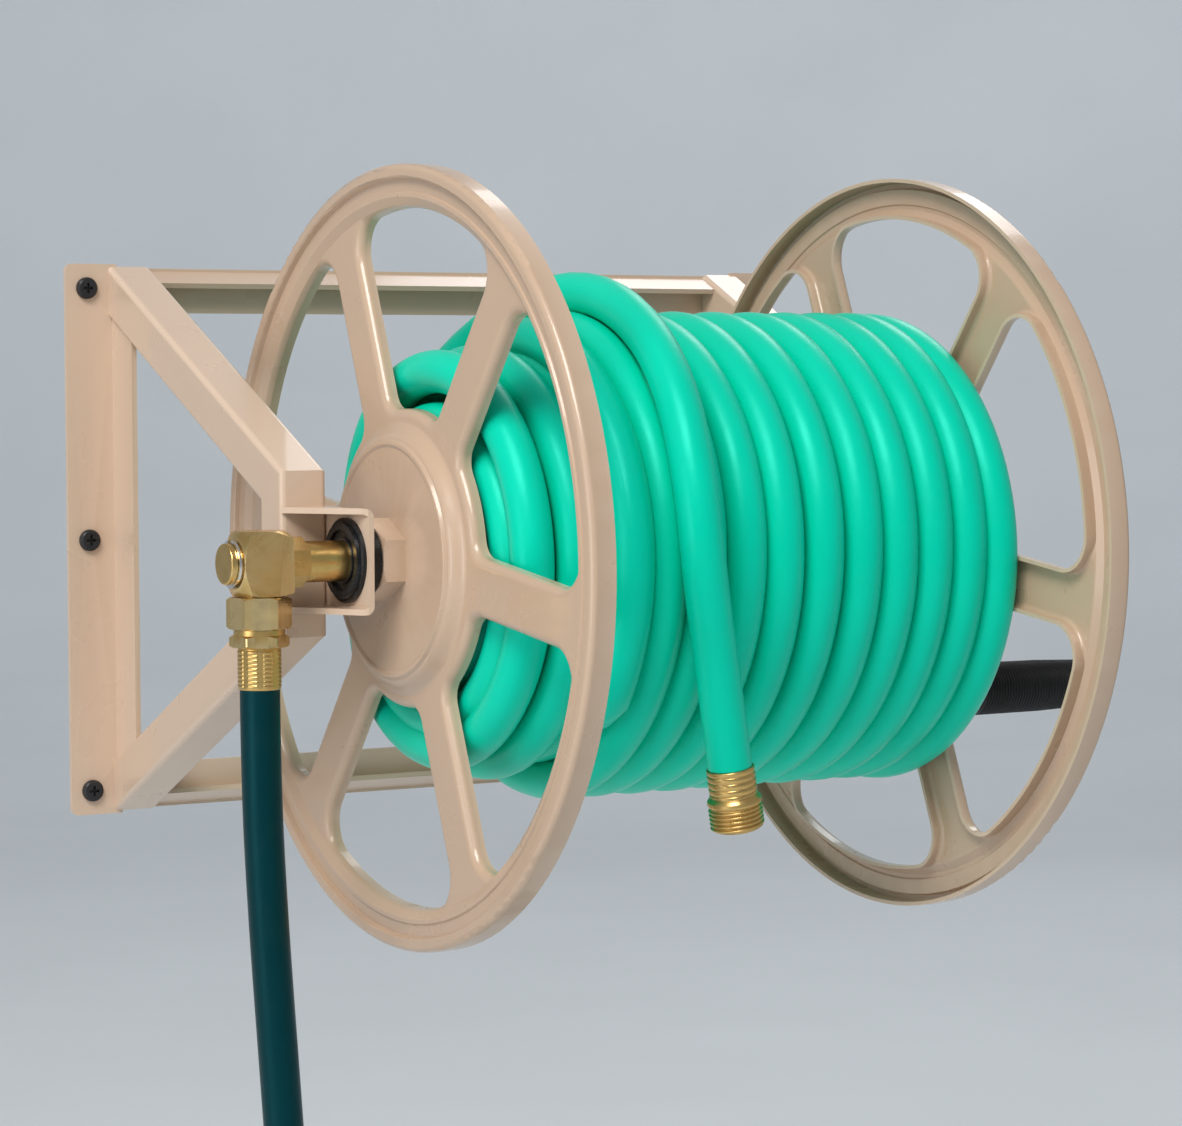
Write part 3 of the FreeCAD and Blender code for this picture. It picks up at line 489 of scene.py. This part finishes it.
# ---- materials ----
class Finish:
    """One procedural material, built up step by step."""

    def __init__(self, name):
        self.material = bpy.data.materials.new(name)
        self.material.use_nodes = True
        self.tree = self.material.node_tree
        self.shader = self.tree.nodes["Principled BSDF"]
        self.place = self.tree.nodes.new("ShaderNodeTexCoord").outputs["Object"]

    def link(self, output, target):
        self.tree.links.new(output, target)

    def noise(self, scale, detail=3.0, rough=0.5):
        """Noise on the piece's own coordinates, in waves per metre."""
        texture = self.tree.nodes.new("ShaderNodeTexNoise")
        texture.inputs["Scale"].default_value = scale
        texture.inputs["Detail"].default_value = detail
        texture.inputs["Roughness"].default_value = rough
        self.link(self.place, texture.inputs["Vector"])
        return texture.outputs["Fac"]

    def tone(self, value, base, variation):
        """Colour that varies a little around its base."""
        made = self.tree.nodes.new("ShaderNodeValToRGB")
        elements = made.color_ramp.elements
        elements[0].position = 0.3
        elements[0].color = (*[c * (1 - variation) for c in base], 1)
        elements[1].position = 0.7
        elements[1].color = (*[c * (1 + variation) for c in base], 1)
        self.link(value, made.inputs["Fac"])
        return made.outputs["Color"]

    def spread(self, value, low, high, first=0.3, last=0.7):
        """Maps a value between first and last to one between low and high."""
        made = self.tree.nodes.new("ShaderNodeMapRange")
        made.inputs["From Min"].default_value = first
        made.inputs["From Max"].default_value = last
        made.inputs["To Min"].default_value = low
        made.inputs["To Max"].default_value = high
        self.link(value, made.inputs["Value"])
        return made.outputs["Result"]

    def mix(self, factor, first, second):
        """From the first colour, an output, to the second, a plain one."""
        made = self.tree.nodes.new("ShaderNodeMixRGB")
        self.link(factor, made.inputs["Fac"])
        self.link(first, made.inputs["Color1"])
        made.inputs["Color2"].default_value = (*second, 1)
        return made.outputs["Color"]

    def edges(self, first=0.52, last=0.60):
        """How far a point is out on a convex edge, where the materials put a painted highlight."""
        geometry = self.tree.nodes.new("ShaderNodeNewGeometry")
        return self.spread(geometry.outputs["Pointiness"], 0.0, 1.0, first, last)

    def bumps(self, layers):
        """Stacks (height, distance in mm) layers on the normal."""
        normal = None
        for height, distance in layers:
            made = self.tree.nodes.new("ShaderNodeBump")
            made.inputs["Distance"].default_value = distance * MM
            self.link(height, made.inputs["Height"])
            if normal is not None:
                self.link(normal, made.inputs["Normal"])
            normal = made.outputs["Normal"]
        self.link(normal, self.shader.inputs["Normal"])

    def set(self, **values):
        """Constants on the shader's sockets, named with _ for a space."""
        for socket, value in values.items():
            self.shader.inputs[socket.replace("_", " ")].default_value = value

    def colour(self, output):
        self.link(output, self.shader.inputs["Base Color"])

    def roughness(self, output):
        self.link(output, self.shader.inputs["Roughness"])


def powder_coat():
    finish = Finish("tan_powder_coat")
    base = finish.tone(finish.noise(7, 4), (0.53, 0.375, 0.262), 0.03)
    # Convex edges get a lighter tan: a painted highlight.
    finish.colour(finish.mix(finish.edges(0.53, 0.64), base, (0.66, 0.50, 0.38)))
    finish.roughness(finish.spread(finish.noise(30), 0.26, 0.34))
    finish.set(Coat_Weight=0.45, Coat_Roughness=0.09)
    finish.bumps([(finish.noise(650, 2), 0.025), (finish.noise(90, 2), 0.05)])
    return finish.material


def hose_vinyl(name, base, low, high, variation):
    """Smooth vinyl with a trace of dust; low and high bound its roughness."""
    finish = Finish(name)
    tone = finish.tone(finish.noise(9), base, variation)
    dust = finish.spread(finish.noise(60, 5, 0.65), 0.0, 0.08, 0.5, 0.8)
    finish.colour(finish.mix(dust, tone, [0.7 * c + 0.03 for c in base]))
    finish.roughness(finish.spread(finish.noise(45, 4), low, high))
    finish.bumps([(finish.noise(220), 0.10), (finish.noise(1500, 2), 0.02)])
    return finish


def green_vinyl():
    finish = hose_vinyl("green_hose", (0.0, 0.61, 0.405), 0.30, 0.42, 0.04)
    finish.set(Specular_Tint=(0.15, 1.0, 0.90, 1))
    return finish.material


def leader_vinyl():
    finish = hose_vinyl("leader_hose", (0.0, 0.022, 0.026), 0.30, 0.42, 0.10)
    finish.set(Specular_Tint=(0.20, 0.85, 1.0, 1), Specular_IOR_Level=0.3)
    return finish.material


def brass_metal():
    finish = Finish("brass")
    base = finish.tone(finish.noise(70, 4), (0.66, 0.44, 0.16), 0.10)
    dull = finish.spread(finish.noise(150, 5, 0.6), 0.0, 0.35, 0.45, 0.75)
    base = finish.mix(dull, base, (0.46, 0.29, 0.10))
    # Convex edges get a brighter brass: a painted highlight.
    finish.colour(finish.mix(finish.edges(), base, (0.80, 0.60, 0.30)))
    finish.roughness(finish.spread(finish.noise(120, 4), 0.24, 0.38))
    finish.set(Metallic=1.0)
    finish.bumps([(finish.noise(420), 0.05), (finish.noise(1600, 2), 0.015)])
    return finish.material


def black_plastic(name, low, high, shade):
    finish = Finish(name)
    base = finish.tone(finish.noise(50), (shade, shade, shade * 1.1), 0.25)
    # Convex edges get a lighter grey: a painted highlight.
    finish.colour(finish.mix(finish.edges(), base, (0.016, 0.016, 0.017)))
    finish.roughness(finish.spread(finish.noise(110), low, high))
    finish.set(Specular_IOR_Level=0.3)
    finish.bumps([(finish.noise(900, 2), 0.03)])
    return finish.material


def plated_steel(name, base, low, high):
    finish = Finish(name)
    tone = finish.tone(finish.noise(60, 4), base, 0.07)
    # Convex edges get a brighter steel: a painted highlight.
    finish.colour(finish.mix(finish.edges(), tone, (0.78, 0.78, 0.78)))
    finish.roughness(finish.spread(finish.noise(140), low, high))
    finish.set(Metallic=1.0)
    finish.bumps([(finish.noise(800, 2), 0.02)])
    return finish.material


def woven_strap():
    finish = Finish("black_tie")
    finish.colour(finish.tone(finish.noise(120), (0.02, 0.02, 0.022), 0.3))
    finish.roughness(finish.spread(finish.noise(300, 2), 0.75, 0.92))
    finish.bumps([(finish.noise(1100, 2), 0.25)])
    return finish.material


MATERIALS = {
    "tan_powder_coat": powder_coat(),
    "black_nylon": black_plastic("black_nylon", 0.22, 0.36, 0.005),
    "grip_rubber": black_plastic("grip_rubber", 0.38, 0.52, 0.007),
    "black_screws": black_plastic("black_screws", 0.25, 0.40, 0.020),
    "zinc_steel": plated_steel("zinc_steel", (0.58, 0.58, 0.57), 0.28, 0.42),
    "bright_ring": plated_steel("bright_ring", (0.72, 0.72, 0.73), 0.10, 0.20),
    "brass": brass_metal(),
    "green_hose": green_vinyl(),
    "leader_hose": leader_vinyl(),
    "black_tie": woven_strap(),
}


def set_material(obj, slot):
    obj.data.materials.clear()
    obj.data.materials.append(MATERIALS[slot])


def finish_pieces():
    """Every CAD node gets its slot's material from the record, and so do the new pieces."""
    for entry in frame["record"]["subparts"]:
        set_material(nodes[entry["node"]], entry["material_slot"])
    for piece in (ferrule, coupling, top_ferrule, low_ferrule):
        set_material(piece, "brass")
    set_material(grip, "grip_rubber")
    set_material(hose, "green_hose")
    set_material(leader, "leader_hose")


finish_pieces()


# ---- stage: (radius, height) of its outline in metres ----
STAGE_OUTLINE = [(1.0, 0.0), (3.5, 0.0), (5.0, 0.12), (6.2, 0.7), (6.9, 1.9), (7.1, 3.6)]
STAGE_SIDES = 64


def stage():
    """A pale floor that curves up far away on every side."""
    floor_z = cad_low.z - 0.03
    bm = bmesh.new()
    rings = []
    for radius, height in STAGE_OUTLINE:
        ring = []
        for step in range(STAGE_SIDES):
            angle = 2 * math.pi * step / STAGE_SIDES
            place = (radius * math.cos(angle), radius * math.sin(angle), floor_z + height)
            ring.append(bm.verts.new(place))
        rings.append(ring)
    bm.faces.new(rings[0])
    for first, second in zip(rings, rings[1:]):
        for step in range(STAGE_SIDES):
            after = (step + 1) % STAGE_SIDES
            bm.faces.new((first[step], first[after], second[after], second[step]))
    floor = add_mesh("floor", bm)
    finish = Finish("floor_pale")
    finish.colour(finish.tone(finish.noise(2.5, 2), (0.74, 0.78, 0.81), 0.02))
    finish.roughness(finish.spread(finish.noise(9, 2), 0.85, 0.95))
    finish.bumps([(finish.noise(60, 2), 0.3)])
    floor.data.materials.append(finish.material)


stage()


def area_light(name, place, target, size, power, colour):
    data = bpy.data.lights.new(name, "AREA")
    data.shape = "RECTANGLE"
    data.size, data.size_y = size
    data.energy = power
    data.color = colour
    light = bpy.data.objects.new(name, data)
    scene.collection.objects.link(light)
    light.location = place
    light.visible_camera = False
    direction = Vector(target) - Vector(place)
    light.rotation_euler = direction.to_track_quat("-Z", "Y").to_euler()


def lighting():
    """Soft studio light: a large key, a weak fill, a light from behind and one on the backdrop."""
    world = bpy.data.worlds.new("world")
    scene.world = world
    world.use_nodes = True
    background = world.node_tree.nodes["Background"]
    background.inputs["Color"].default_value = (0.94, 0.97, 1.0, 1)
    background.inputs["Strength"].default_value = 0.36
    area_light("key", (-1.8, -1.8, 2.3), (0, -0.25, 0), (1.7, 1.4), 88, (1.0, 0.98, 0.94))
    area_light("fill", (-3.0, -0.9, 0.1), (0, -0.2, 0), (1.4, 1.8), 20, (0.98, 0.98, 1.0))
    area_light("back", (2.2, 1.6, 2.4), (0, -0.2, 0), (1.4, 1.4), 20, (0.97, 0.98, 1.0))
    area_light("backdrop", (2.0, 2.6, 2.6), (4.2, 6.2, 2.4), (2.5, 1.5), 34, (0.97, 0.98, 1.0))
    scene.view_settings.view_transform = "Standard"


lighting()
